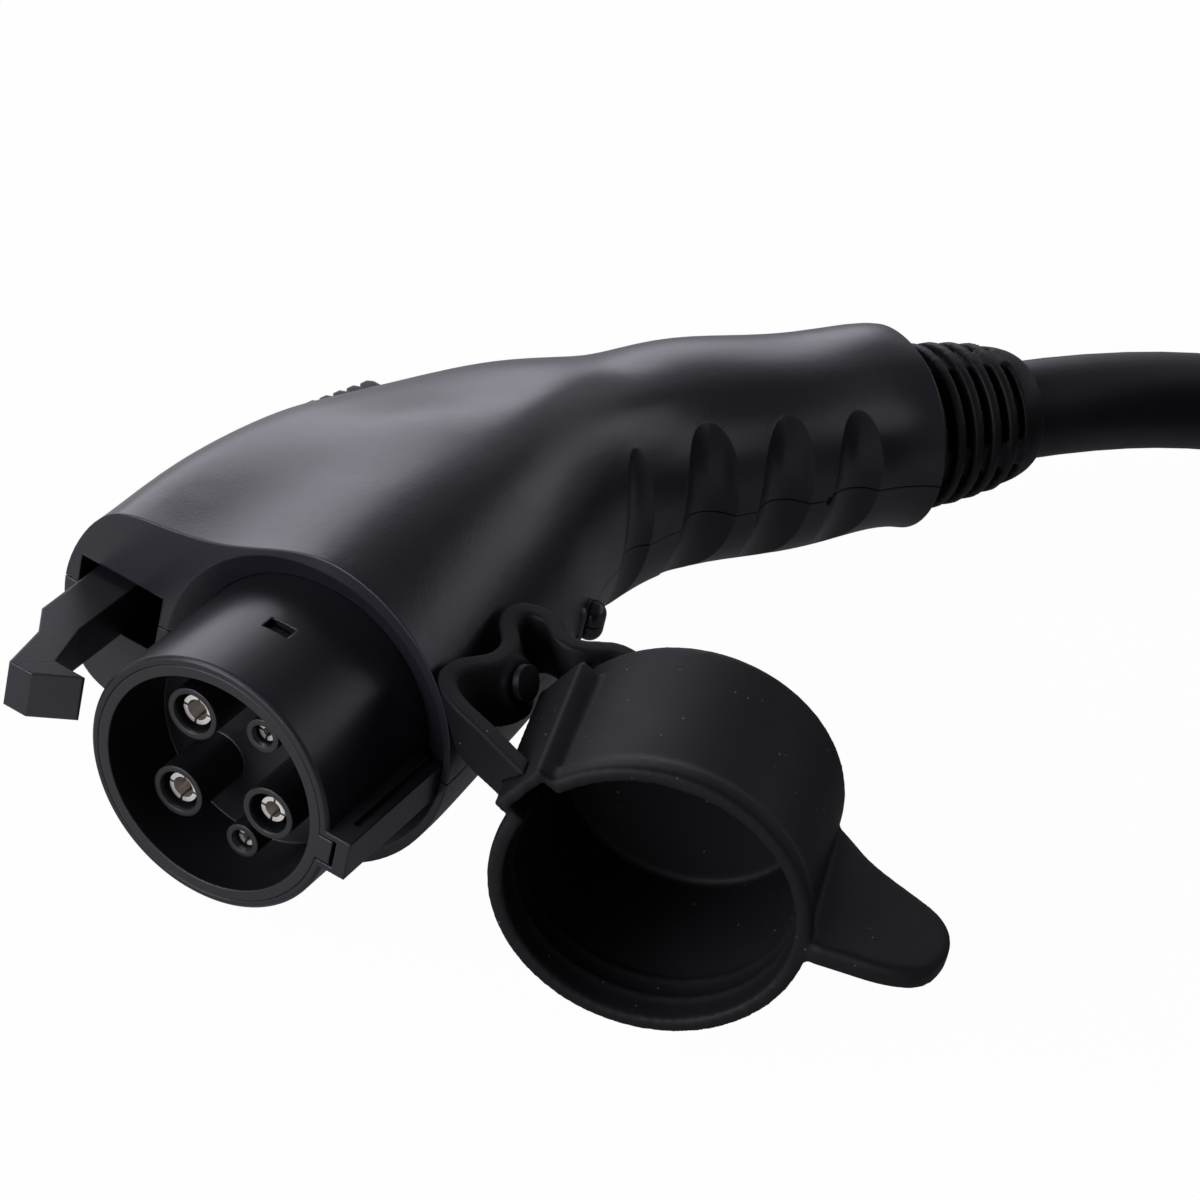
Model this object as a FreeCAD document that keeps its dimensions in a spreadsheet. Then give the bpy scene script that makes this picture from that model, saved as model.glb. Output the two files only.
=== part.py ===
import FreeCAD, Part
import math
import os
import Sketcher

# Electric vehicle charging connector on its cable, lying on its side, in millimetres.
# The origin is the middle of the barrel's mouth. The barrel's axis runs back along +Y,
# the latch is on the -X side, the finger side is +X and the two halves part at Z = 0.

os.makedirs("parts", exist_ok=True)
doc = FreeCAD.newDocument("charging_connector")
sheet = doc.addObject("Spreadsheet::Sheet", "sizes")

SIZES = (
    ("running_fit", 0.05),
    ("face_gap", 0.3),
    ("seam_gap", 0.3),
    ("barrel_radius", 21.9),
    ("barrel_wall", 1.35),
    ("barrel_exposed", 26.0),
    ("barrel_length", 44.0),
    ("mouth_chamfer", 0.5),
    ("key_width", 7.0),
    ("key_height", 3.9),
    ("key_groove", 0.9),
    ("tab_width", 4.4),
    ("tab_height", 2.6),
    ("tab_length", 4.0),
    ("snap_width", 4.6),
    ("snap_length", 2.8),
    ("snap_along", 15.0),
    ("snap_across", -0.8),
    ("flange_height", 1.5),
    ("flange_length", 3.0),
    ("liner_wall", 1.8),
    ("floor_depth", 15.0),
    ("carrier_length", 33.0),
    ("retainer_length", 3.0),
    ("collar_wall", 1.0),
    ("collar_step", 12.0),
    ("power_across", -6.8),
    ("power_side", 7.85),
    ("signal_across", 5.6),
    ("signal_side", 10.65),
    ("earth_across", 10.6),
    ("power_pin", 3.6),
    ("earth_pin", 2.8),
    ("signal_pin", 1.5),
    ("power_collar", 8.9),
    ("earth_collar", 8.9),
    ("signal_collar", 5.8),
    ("power_recess", 3.6),
    ("earth_recess", 0.9),
    ("signal_recess", 3.9),
    ("socket_wall", 0.75),
    ("socket_sunk", 1.4),
    ("socket_bore", 16.0),
    ("socket_slot", 0.4),
    ("slot_length", 6.5),
    ("socket_flange", 1.2),
    ("crimp_end", 46.0),
    ("power_core", 2.3),
    ("signal_core", 1.1),
    ("wall", 2.5),
    ("front_wall", 5.0),
    ("rear_wall", 4.0),
    ("lip_depth", 2.4),
    ("lip_width", 1.1),
    ("groove_depth", 2.4),
    ("groove_radius", 7.0),
    ("groove_reach", 39.2),
    ("groove_pitch", 15.0),
    ("groove_first", -9.0),
    ("groove_shallow", 19.5),
    ("grooves", 4),
    ("rib_length", 2.4),
    ("latch_thick", 8.6),
    ("latch_outer", 40.9),
    ("thumb_front", 40.6),
    ("thumb_climb", 0.85),
    ("latch_inner", 33.6),
    ("latch_tip", 2.3),
    ("hook_reach", 25.9),
    ("hook_length", 5.0),
    ("pivot_across", 36.0),
    ("pivot_along", 52.0),
    ("pivot_radius", 2.0),
    ("pivot_boss", 4.4),
    ("pivot_length", 22.0),
    ("thumb_width", 16.0),
    ("thumb_start", 80.0),
    ("thumb_length", 17.5),
    ("thumb_ridge", 0.7),
    ("window_gap", 0.8),
    ("mouth_opening", 11.0),
    ("spring_radius", 3.2),
    ("spring_wire", 0.8),
    ("spring_along", 75.0),
    ("spring_turns", 5),
    ("seat_across", 20.0),
    ("board_thick", 1.6),
    ("board_across", 22.5),
    ("board_ahead", 20.5),
    ("board_length", 14.0),
    ("board_half", 9.0),
    ("switch_length", 12.8),
    ("switch_width", 5.8),
    ("switch_height", 5.8),
    ("plunger_radius", 0.9),
    ("screw_radius", 1.45),
    ("screw_head", 2.5),
    ("screw_reach", 8.0),
    ("boss_radius", 2.5),
    ("well_wall", 1.3),
    ("handle_turn", 31.5),
    ("handle_across", 6.3),
    ("handle_along", 119.7),
    ("cable_radius", 8.9),
    ("cable_start", 24.0),
    ("ring_start", 37.0),
    ("ring_length", 5.0),
    ("ring_thick", 1.6),
    ("boot_start", 45.0),
    ("boot_flange", 13.3),
    ("boot_neck", 11.6),
    ("boot_front", 14.9),
    ("boot_back", 12.6),
    ("boot_tip", 9.9),
    ("boot_length", 25.8),
    ("boot_core", 10.6),
    ("boot_slot", 2.1),
    ("boot_pitch", 3.95),
    ("boot_rings", 5),
    ("boot_spine", 5.0),
    ("cap_bore", 22.2),
    ("cap_wall", 2.3),
    ("cap_depth", 35.0),
    ("cap_floor", 2.6),
    ("cap_bead", 0.7),
    ("cap_ridge", 0.5),
    ("cap_across", 66.8),
    ("cap_along", 19.9),
    ("cap_up", 4.2),
    ("cap_turn", 17.6),
    ("cap_tilt", 31.0),
    ("channel_width", 7.8),
    ("channel_height", 4.1),
    ("tongue_reach", 19.3),
    ("tongue_root", 29.0),
    ("tongue_tip", 13.0),
    ("tongue_thick", 4.0),
    ("strap_thick", 3.0),
    ("strap_bottom", 10.3),
    ("strap_width", 9.7),
    ("strap_lean", 5.1),
    ("anchor_radius", 1.9),
    ("anchor_across", 26.5),
    ("anchor_along", 37.4),
    ("shoulder_radius", 3.4),
    ("shoulder_gap", 2.25),
    ("button_radius", 2.9),
    ("button_thick", 1.2),
    ("eye_radius", 4.1),
    ("eye_thick", 3.4),
    ("stud_radius", 2.3),
    ("stud_across", 22.4),
    ("stud_along", 78.2),
    ("stud_height", 1.4),
    ("post_radius", 1.4),
    ("post_across", 21.9),
    ("post_along", 73.6),
    ("post_height", 3.8),
    ("dimple_radius", 1.3),
    ("dimple_along", 31.0),
    ("dimple_floor", 14.4),
    ("lead_length", 42.0),
    ("ferrule_length", 9.0),
    ("core_straight", 18.0),
    ("cable_leave", 34.0),
    ("cable_fall", 62.0),
    ("cable_lie", 36.0),
    ("coil_turns", 2),
    ("coil_layers", 4),
    ("coil_inner", 75.4),
)

# The housing is a smooth skin through these sections: where each one stands, how far it
# is turned, its reach to the finger side and to the thumb side, its half width, how much
# it is pinched between the latch hood and the barrel, how sharp its thumb side is (1 is an
# ellipse, less is boxier) and what its inside gives up on the finger side.
FIELDS = ("across", "along", "turn", "finger", "thumb", "side", "pinch", "ridge", "inset")
SECTIONS = {
    "lip": (0.0, 26.0, 0.0, 27.3, 46.2, 28.5, 0.28, 0.80, 0.0),
    "hood": (0.0, 33.0, 0.0, 27.0, 46.0, 29.0, 0.26, 0.80, 0.0),
    "cheek": (0.0, 46.0, 0.0, 25.8, 45.6, 29.8, 0.21, 0.80, 0.0),
    "shoulder": (0.0, 60.0, 0.0, 24.6, 44.0, 30.0, 0.15, 0.86, 0.0),
    "hump": (0.0, 74.0, 2.0, 22.8, 41.2, 29.2, 0.08, 1.10, 0.0),
    "saddle": (0.0, 87.0, 8.0, 20.4, 36.3, 27.2, 0.0, 1.40, 0.5),
    "throat": (1.6, 100.0, 17.0, 17.8, 28.9, 24.0, 0.0, 1.02, 1.5),
    "neck": (4.4, 110.0, 26.0, 16.4, 24.6, 21.4, 0.0, 0.94, 2.0),
}
# The handle is straight, so its sections are set by their place along it.
HANDLE_FIELDS = ("place", "finger", "thumb", "side", "ridge", "inset")
HANDLE_SECTIONS = {
    "grip": (2.0, 17.0, 21.8, 19.8, 0.90, 2.6),
    "palm": (18.0, 15.9, 23.0, 19.0, 0.90, 2.9),
    "heel": (40.0, 15.4, 20.6, 18.2, 0.90, 2.4),
    "rear": (52.7, 17.0, 20.2, 17.6, 0.90, 1.0),
}


def fill_sheet():
    rows = list(SIZES)
    for name, values in SECTIONS.items():
        rows += [(name + "_" + field, value) for field, value in zip(FIELDS, values)]
    for name, values in HANDLE_SECTIONS.items():
        rows += [(name + "_" + field, value) for field, value in zip(HANDLE_FIELDS, values)]
    for row, (alias, value) in enumerate(rows, 1):
        sheet.set("A" + str(row), alias)
        sheet.set("B" + str(row), str(value))
        sheet.setAlias("B" + str(row), alias)
    doc.recompute()


class Size:
    """A length together with the sheet formula that gives it."""

    def __init__(self, value, formula):
        self.value = value
        self.formula = formula

    def __add__(self, other):
        other = as_size(other)
        return Size(self.value + other.value, "(" + self.formula + " + " + other.formula + ")")

    def __radd__(self, other):
        return as_size(other) + self

    def __sub__(self, other):
        other = as_size(other)
        return Size(self.value - other.value, "(" + self.formula + " - " + other.formula + ")")

    def __rsub__(self, other):
        return as_size(other) - self

    def __mul__(self, factor):
        factor = as_size(factor)
        return Size(self.value * factor.value, "(" + self.formula + " * " + factor.formula + ")")

    def __rmul__(self, factor):
        return as_size(factor) * self

    def __truediv__(self, factor):
        factor = as_size(factor)
        return Size(self.value / factor.value, "(" + self.formula + " / " + factor.formula + ")")

    def __neg__(self):
        return Size(-self.value, "(0 - " + self.formula + ")")


def as_size(number):
    if isinstance(number, Size):
        return number
    return Size(float(number), str(float(number)))


class Sizes:
    """Reads a cell of the sheet by its alias."""

    def __getattr__(self, alias):
        return Size(float(sheet.get(alias)), "sizes." + alias)


fill_sheet()
size = Sizes()
kept = {}


def vector(x, y, z):
    return FreeCAD.Vector(as_size(x).value, as_size(y).value, as_size(z).value)


def bind(item, **formulas):
    for name, amount in formulas.items():
        item.setExpression(name, as_size(amount).formula)


def put(item, x, y, z):
    for letter, amount in zip("xyz", (x, y, z)):
        item.setExpression("Placement.Base." + letter, as_size(amount).formula)


def block(name, x, y, z, length, width, height):
    """A box from its lowest corner."""
    item = doc.addObject("Part::Box", name)
    bind(item, Length=length, Width=width, Height=height)
    put(item, x, y, z)
    return item


TURNS = {
    "x": FreeCAD.Rotation(FreeCAD.Vector(0, 1, 0), 90),
    "y": FreeCAD.Rotation(FreeCAD.Vector(1, 0, 0), -90),
    "z": FreeCAD.Rotation(),
}


def rod(name, axis, x, y, z, radius, length):
    """A cylinder from the middle of its first end, along x, y or z."""
    item = doc.addObject("Part::Cylinder", name)
    item.Placement.Rotation = TURNS[axis]
    bind(item, Radius=radius, Height=length)
    put(item, x, y, z)
    return item


def fused(name, *items):
    item = doc.addObject("Part::MultiFuse", name)
    item.Shapes = list(items)
    return item


def grouped(name, *items):
    item = doc.addObject("Part::Compound", name)
    item.Links = list(items)
    return item


def cut(name, base, *tools):
    item = doc.addObject("Part::Cut", name)
    item.Base = base
    item.Tool = tools[0] if len(tools) == 1 else fused(name + "_tools", *tools)
    return item


def common(name, first, second):
    item = doc.addObject("Part::Common", name)
    item.Base = first
    item.Tool = second
    return item


def mirrored(name, source):
    """The same piece on the other side of the parting plane."""
    item = doc.addObject("Part::Mirroring", name)
    item.Source = source
    item.Normal = FreeCAD.Vector(0, 0, 1)
    return item


def outline(body, name, points):
    """A closed sketch on the XY plane, each corner held by the sheet."""
    sketch = body.newObject("Sketcher::SketchObject", name)
    plane = next(item for item in body.Origin.OriginFeatures if item.Role == "XY_Plane")
    sketch.AttachmentSupport = [(plane, "")]
    sketch.MapMode = "FlatFace"
    corners = [vector(x, y, 0) for x, y in points]
    for index, corner in enumerate(corners):
        sketch.addGeometry(Part.LineSegment(corner, corners[(index + 1) % len(corners)]))
    for index in range(len(points)):
        after = (index + 1) % len(points)
        sketch.addConstraint(Sketcher.Constraint("Coincident", index, 2, after, 1))
    for index, (x, y) in enumerate(points):
        for kind, amount in (("DistanceX", x), ("DistanceY", y)):
            amount = as_size(amount)
            held = Sketcher.Constraint(kind, -1, 1, index, 1, amount.value)
            number = sketch.addConstraint(held)
            sketch.setExpression("Constraints[" + str(number) + "]", amount.formula)
    return sketch


def turned(name, points):
    """A body turned about the Y axis; points are radius and place along the axis."""
    body = doc.addObject("PartDesign::Body", name)
    feature = body.newObject("PartDesign::Revolution", name + "_turn")
    feature.Profile = outline(body, name + "_outline", points)
    feature.ReferenceAxis = (feature.Profile[0], ["V_Axis"])
    feature.Angle = 360
    body.Tip = feature
    return body


def plate(name, points, thickness):
    """A body of one outline in the XY plane, as thick above the plane as below it."""
    body = doc.addObject("PartDesign::Body", name)
    feature = body.newObject("PartDesign::Pad", name + "_pad")
    feature.Profile = outline(body, name + "_outline", points)
    feature.Midplane = True
    bind(feature, Length=thickness)
    body.Tip = feature
    return body


def keep(node, item):
    item.Label = node
    kept[node] = item
    return item


def handle_frame():
    """The handle's own frame: Y runs along it and X points to the finger side."""
    turn = FreeCAD.Rotation(FreeCAD.Vector(0, 0, 1), -size.handle_turn.value)
    return FreeCAD.Placement(vector(size.handle_across, size.handle_along, 0), turn)


def on_handle(item):
    item.Placement = handle_frame()
    return item


def housing_sections():
    """Each section as its placement and its values, from the lip to the rear."""
    result = []
    for name in SECTIONS:
        values = {field: float(sheet.get(name + "_" + field)) for field in FIELDS}
        turn = FreeCAD.Rotation(FreeCAD.Vector(0, 0, 1), -values["turn"])
        spot = FreeCAD.Vector(values["across"], values["along"], 0)
        result.append((FreeCAD.Placement(spot, turn), values))
    for name in HANDLE_SECTIONS:
        values = {field: float(sheet.get(name + "_" + field)) for field in HANDLE_FIELDS}
        values["pinch"] = 0.0
        spot = FreeCAD.Placement(FreeCAD.Vector(0, values["place"], 0), FreeCAD.Rotation())
        result.append((handle_frame().multiply(spot), values))
    return result


PINCH_PLACE = 0.52
PINCH_WIDTH = 0.22
ARC_POINTS = 10


def half_section(placement, values, inset):
    """The upper half of one section, closed along the parting plane."""
    finger = values["finger"] - inset - (values["inset"] if inset else 0)
    thumb = values["thumb"] - inset
    side = values["side"] - inset
    seam = size.seam_gap.value / 2
    points = []
    for step in range(ARC_POINTS + 1):
        angle = math.pi * step / ARC_POINTS
        lean = math.cos(angle)
        if lean > 0:
            across = finger * lean
        else:
            across = -thumb * abs(lean) ** values["ridge"]
        offset = (across / thumb + PINCH_PLACE) / PINCH_WIDTH
        narrow = 1 - values["pinch"] * math.exp(-offset * offset)
        rise = seam + side * math.sin(angle) * narrow
        points.append(placement.multVec(FreeCAD.Vector(across, 0, rise)))
    arc = Part.BSplineCurve()
    arc.interpolate(points)
    return Part.Wire([arc.toShape(), Part.LineSegment(points[-1], points[0]).toShape()])


def half_skin(name, inset, first_push=0.0, last_push=0.0):
    """A solid through the half sections; the ends can be pushed inwards."""
    sections = housing_sections()
    if first_push:
        push = FreeCAD.Placement(FreeCAD.Vector(0, first_push, 0), FreeCAD.Rotation())
        sections[0] = (sections[0][0].multiply(push), sections[0][1])
    if last_push:
        push = FreeCAD.Placement(FreeCAD.Vector(0, -last_push, 0), FreeCAD.Rotation())
        sections[-1] = (sections[-1][0].multiply(push), sections[-1][1])
    wires = [half_section(placement, values, inset) for placement, values in sections]
    item = doc.addObject("Part::Feature", name)
    item.Shape = Part.makeLoft(wires, True, False)
    return item


def turned_grooves():
    """The finger grooves, as rings that sink into the handle."""
    rings = []
    for number in range(int(size.grooves.value)):
        ring = doc.addObject("Part::Torus", "groove_" + str(number + 1))
        ring.Placement.Rotation = TURNS["y"]
        bind(ring, Radius1=size.groove_reach, Radius2=size.groove_radius)
        bottom = size.palm_finger - size.groove_depth if number else size.groove_shallow
        put(ring, bottom - size.groove_reach + size.groove_radius,
            size.groove_first + size.groove_pitch * number, 0)
        rings.append(ring)
    return on_handle(fused("grooves", *rings))


# The screws close the two halves from the lower side: where each stands and how far
# below the parting plane its head sits.
BODY_SCREWS = {"front": (-27.6, 38.5, 11.0), "belly": (18.0, 60.0, 11.0), "back": (-15.0, 86.0, 11.0)}
HANDLE_SCREWS = {"grip": (-11.8, 4.0, 8.0), "tail": (-11.8, 31.0, 8.0)}
OUT = 40.0


def screw_places():
    for x, y, seat in BODY_SCREWS.values():
        yield FreeCAD.Vector(x, y, 0), seat
    for x, y, seat in HANDLE_SCREWS.values():
        yield handle_frame().multVec(FreeCAD.Vector(x, y, 0)), seat


def screw_rods(name, radius, first, length):
    """One rod for each screw; first and length are given for the depth of its seat."""
    rods = []
    for number, (spot, seat) in enumerate(screw_places(), 1):
        label = name + "_" + str(number)
        rods.append(rod(label, "z", spot.x, spot.y, first(seat), radius, length(seat)))
    return rods


def domed(name, x, y, radius, height):
    """A short round stud with a domed top, standing on the seam under the shell."""
    dome = doc.addObject("Part::Sphere", name + "_dome")
    bind(dome, Radius=radius)
    put(dome, x, y, height)
    return fused(name + "_stud", rod(name + "_stem", "z", x, y, size.seam_gap / 2, radius, height), dome)


def housing():
    outer = half_skin("outer_skin", 0.0)
    inner = half_skin("inner_skin", size.wall.value, size.front_wall.value, size.rear_wall.value)
    shell = cut("bare_shell", outer, inner)
    half_seam = size.seam_gap / 2
    well = size.screw_head + size.running_fit * 4
    posts = screw_rods("post", size.boss_radius, lambda seat: half_seam, lambda seat: OUT)
    sleeves = screw_rods("sleeve", well + size.well_wall, lambda seat: seat - 1.6, lambda seat: OUT)
    pivot_start = size.latch_thick / 2 + size.face_gap
    pivot_post = rod("pivot_post", "z", -size.pivot_across, size.pivot_along, pivot_start,
                     size.pivot_boss, OUT)
    seat_wall = block("spring_wall", -size.seat_across - size.rib_length / 2,
                      size.spring_along - size.spring_radius * 1.5, half_seam,
                      size.rib_length, size.spring_radius * 3, OUT)
    flange_back = size.barrel_exposed + size.front_wall + size.flange_length
    rib_ring = cut("sleeve_rib",
                   rod("rib_disc", "y", 0, flange_back + size.face_gap, 0,
                       size.barrel_radius + size.flange_height + size.wall * 3, size.rib_length),
                   rod("rib_hole", "y", 0, flange_back, 0,
                       size.barrel_radius + size.running_fit * 2, size.rib_length * 2))
    board_back = size.board_across + size.board_thick / 2
    board_start = size.spring_along - size.board_ahead
    board_rest = cut("board_rest",
                     block("rest_block", -board_back - size.rib_length / 2, board_start,
                           size.board_half - 1.2, size.board_thick + size.rib_length,
                           size.board_length, OUT),
                     block("rest_slot", -board_back - size.running_fit * 2, board_start - 1,
                           size.board_half - 2, size.board_thick + size.running_fit * 4,
                           size.board_length + 2, 2 + size.running_fit * 4))
    lock_parts = []
    for number, place in enumerate((size.ring_start - size.face_gap - size.rib_length,
                                    size.ring_start + size.ring_length + size.face_gap), 1):
        disc = rod("lock_disc_" + str(number), "y", 0, place, 0, OUT / 2, size.rib_length)
        hole = rod("lock_hole_" + str(number), "y", 0, place - 1, 0,
                   size.cable_radius + size.running_fit * 4, size.rib_length + 2)
        lock_parts.append(cut("lock_" + str(number), disc, hole))
    locks = on_handle(fused("ring_locks", *lock_parts))
    inside = fused("inner_parts", *posts, *sleeves, pivot_post, seat_wall, rib_ring, board_rest, locks)
    studs = (domed("stud", size.stud_across, size.stud_along, size.stud_radius, size.stud_height),
             domed("post", size.post_across, size.post_along, size.post_radius, size.post_height))
    shell = fused("ribbed_shell", shell, common("trimmed_parts", inside, outer), *studs)

    bore = rod("barrel_bore", "y", 0, 0, 0, size.barrel_radius + size.running_fit * 2,
               size.barrel_exposed + size.front_wall + 1)
    recess = doc.addObject("Part::Cone", "lip_recess")
    recess.Placement.Rotation = TURNS["y"]
    bind(recess, Radius1=size.lip_finger - size.lip_width,
         Radius2=size.barrel_radius + size.running_fit * 2, Height=size.lip_depth)
    put(recess, 0, size.barrel_exposed, 0)
    mouth = block("latch_mouth", -size.lip_thumb + size.wall, 0, -size.mouth_opening / 2,
                  size.lip_thumb - size.wall - size.hook_reach - 2, size.barrel_exposed + OUT / 4,
                  size.mouth_opening)
    window = block("thumb_window", -size.lip_thumb, size.thumb_start - size.window_gap,
                   -size.thumb_width / 2 - size.window_gap, size.lip_thumb / 2.1,
                   size.thumb_length + size.window_gap * 2,
                   size.thumb_width + size.window_gap * 2)
    exit_hole = on_handle(fused("exit_hole",
                                rod("boot_hole", "y", 0, size.rear_place - size.rear_wall - 1, 0,
                                    size.boot_neck + size.running_fit * 2, size.rear_wall * 3),
                                rod("boot_room", "y", 0, size.boot_start - 1, 0,
                                    size.boot_flange + size.running_fit * 2,
                                    size.rear_place - size.rear_wall - size.boot_start + 1)))
    pin_hole = rod("pivot_hole", "z", -size.pivot_across, size.pivot_along, 0,
                   size.pivot_radius + size.running_fit, size.pivot_length / 2 + size.face_gap)
    anchor_hole = leaned(grouped("anchor_hole", rod("anchor_bore", "x", -OUT / 2, 0, 0,
                                                    size.shoulder_radius + size.running_fit,
                                                    OUT / 2)))
    dimple = on_handle(grouped("seam_dimple", rod("dimple", "x", size.dimple_floor, size.dimple_along, 0,
                                                  size.dimple_radius, OUT / 4)))
    seam_room = block("seam_room", -OUT, -OUT, -OUT, OUT * 3, OUT * 4, OUT + half_seam)
    shell = cut("cut_shell", shell, bore, recess, mouth, window, exit_hole, pin_hole, dimple,
                turned_grooves(), seam_room)
    lower = mirrored("lower_blank", shell)
    threads = screw_rods("thread", size.screw_radius + size.running_fit, lambda seat: 0,
                         lambda seat: size.screw_reach + 1)
    keep("housing_upper", cut("upper_shell", shell, anchor_hole, *threads))
    shanks = screw_rods("shank_hole", size.screw_radius + size.running_fit * 2,
                        lambda seat: -seat - 1, lambda seat: seat + 1)
    wells = screw_rods("well", well, lambda seat: -seat - OUT, lambda seat: OUT)
    keep("housing_lower", cut("lower_shell", lower, *shanks, *wells))


def leaned(item):
    """Moves a piece into the anchor's frame: X points out of the housing, along its post."""
    lean = math.degrees(math.atan2(size.strap_lean.value, size.strap_width.value))
    middle = vector(size.anchor_across + size.strap_lean / 2, size.anchor_along,
                    size.strap_bottom + size.strap_width / 2)
    item.Placement = FreeCAD.Placement(middle, FreeCAD.Rotation(FreeCAD.Vector(0, 1, 0), -lean))
    return item


def barrel():
    inner = size.barrel_radius - size.barrel_wall
    flange_start = size.barrel_exposed + size.front_wall + size.running_fit
    flange = size.barrel_radius + size.flange_height
    tube = turned("barrel_tube", (
        (inner, 0), (size.barrel_radius - size.mouth_chamfer, 0),
        (size.barrel_radius, size.mouth_chamfer), (size.barrel_radius, flange_start),
        (flange, flange_start), (flange, flange_start + size.flange_length),
        (size.barrel_radius, flange_start + size.flange_length),
        (size.barrel_radius, size.barrel_length), (inner, size.barrel_length)))
    key = block("key_block", inner + size.barrel_wall / 2, 0, -size.key_width / 2,
                size.barrel_wall / 2 + size.key_height, size.barrel_exposed, size.key_width)
    groove_x = size.barrel_radius + size.key_height / 2 - size.key_groove / 2
    grooves = [block("key_groove_" + str(side), groove_x, 4.5,
                     (size.key_width / 2 - size.key_groove) * side - size.key_groove * (side < 0),
                     size.key_groove, size.barrel_exposed, size.key_groove * 2)
               for side in (1, -1)]
    gap = size.face_gap
    notch = block("tab_notch", inner - 1, -1, -size.tab_width / 2 - gap,
                  size.tab_height + 1 + gap, size.tab_length + 1 + gap, size.tab_width + gap * 2)
    slot = block("snap_slot", size.snap_across - size.snap_width / 2,
                 size.snap_along - size.snap_length / 2, inner - 1,
                 size.snap_width, size.snap_length, size.barrel_wall + 2)
    keep("barrel_sleeve", cut("barrel", fused("keyed_tube", tube, key), *grooves, notch, slot))


def contact_places():
    """Name, place across and aside, pin, collar, recess and core radius of each contact."""
    power = (size.power_pin, size.power_collar, size.power_recess, size.power_core)
    signal = (size.signal_pin, size.signal_collar, size.signal_recess, size.signal_core)
    earth = (size.earth_pin, size.earth_collar, size.earth_recess, size.power_core)
    return (
        ("line_contact", size.power_across, size.power_side, *power),
        ("neutral_contact", size.power_across, -size.power_side, *power),
        ("ground_contact", size.earth_across, as_size(0), *earth),
        ("pilot_contact", size.signal_across, size.signal_side, *signal),
        ("proximity_contact", size.signal_across, -size.signal_side, *signal),
    )


def carrier():
    outside = size.barrel_radius - size.barrel_wall - size.running_fit * 2
    inside = outside - size.liner_wall
    cup = turned("carrier_cup", (
        (inside, 0), (outside, 0), (outside, size.carrier_length),
        (0, size.carrier_length), (0, size.floor_depth), (inside, size.floor_depth)))
    tab = block("mouth_tab", inside + 0.5, 0, -size.tab_width / 2,
                size.liner_wall - 0.5 + size.tab_height - size.face_gap, size.tab_length,
                size.tab_width)
    snap_gap = size.running_fit * 4
    snap = block("snap_nib", size.snap_across - size.snap_width / 2 + snap_gap,
                 size.snap_along - size.snap_length / 2 + snap_gap, inside + 0.5,
                 size.snap_width - snap_gap * 2, size.snap_length - snap_gap * 2,
                 size.liner_wall - 0.4)
    solids = [cup, tab, snap]
    holes = []
    for name, x, z, pin, collar, recess, core in contact_places():
        tube = pin / 2 + size.socket_wall
        solids.append(rod(name + "_collar", "y", x, recess, z, collar / 2,
                          size.floor_depth - recess + 1))
        holes.append(rod(name + "_throat", "y", x, recess - 1, z,
                         collar / 2 - size.collar_wall, size.collar_step - recess + 1))
        holes.append(rod(name + "_seat", "y", x, 1, z, tube + size.running_fit, size.carrier_length))
    keep("contact_carrier", cut("carrier", fused("carrier_blank", *solids), *holes))
    plate_start = size.carrier_length + size.socket_flange + size.running_fit * 4
    disc = rod("retainer_disc", "y", 0, plate_start, 0, outside - size.running_fit, size.retainer_length)
    ports = [rod(name + "_port", "y", x, size.carrier_length, z,
                 pin / 2 + size.socket_wall + size.running_fit, size.barrel_length)
             for name, x, z, pin, collar, recess, core in contact_places()]
    keep("contact_retainer", cut("retainer", disc, *ports))


def contacts():
    """Slotted female sockets with a flange behind the carrier and a crimped rear end."""
    for name, x, z, pin, collar, recess, core in contact_places():
        tube = pin / 2 + size.socket_wall
        front = recess + size.socket_sunk
        stock = rod(name + "_stock", "y", x, front, z, tube, size.crimp_end - front)
        flange = rod(name + "_flange", "y", x, size.carrier_length + size.running_fit * 2, z,
                     tube + 0.9, size.socket_flange)
        bore = rod(name + "_bore", "y", x, front - 1, z, pin / 2, size.socket_bore + 1)
        slot_across = block(name + "_slot_across", x - tube * 2, front - 1, z - size.socket_slot / 2,
                            tube * 4, size.slot_length + 1, size.socket_slot)
        slot_aside = block(name + "_slot_aside", x - size.socket_slot / 2, front - 1, z - tube * 2,
                           size.socket_slot, size.slot_length + 1, tube * 4)
        slots = (slot_across,) if pin is size.signal_pin else (slot_across, slot_aside)
        keep(name, cut(name + "_solid", fused(name + "_blank", stock, flange), bore, *slots))


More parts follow.
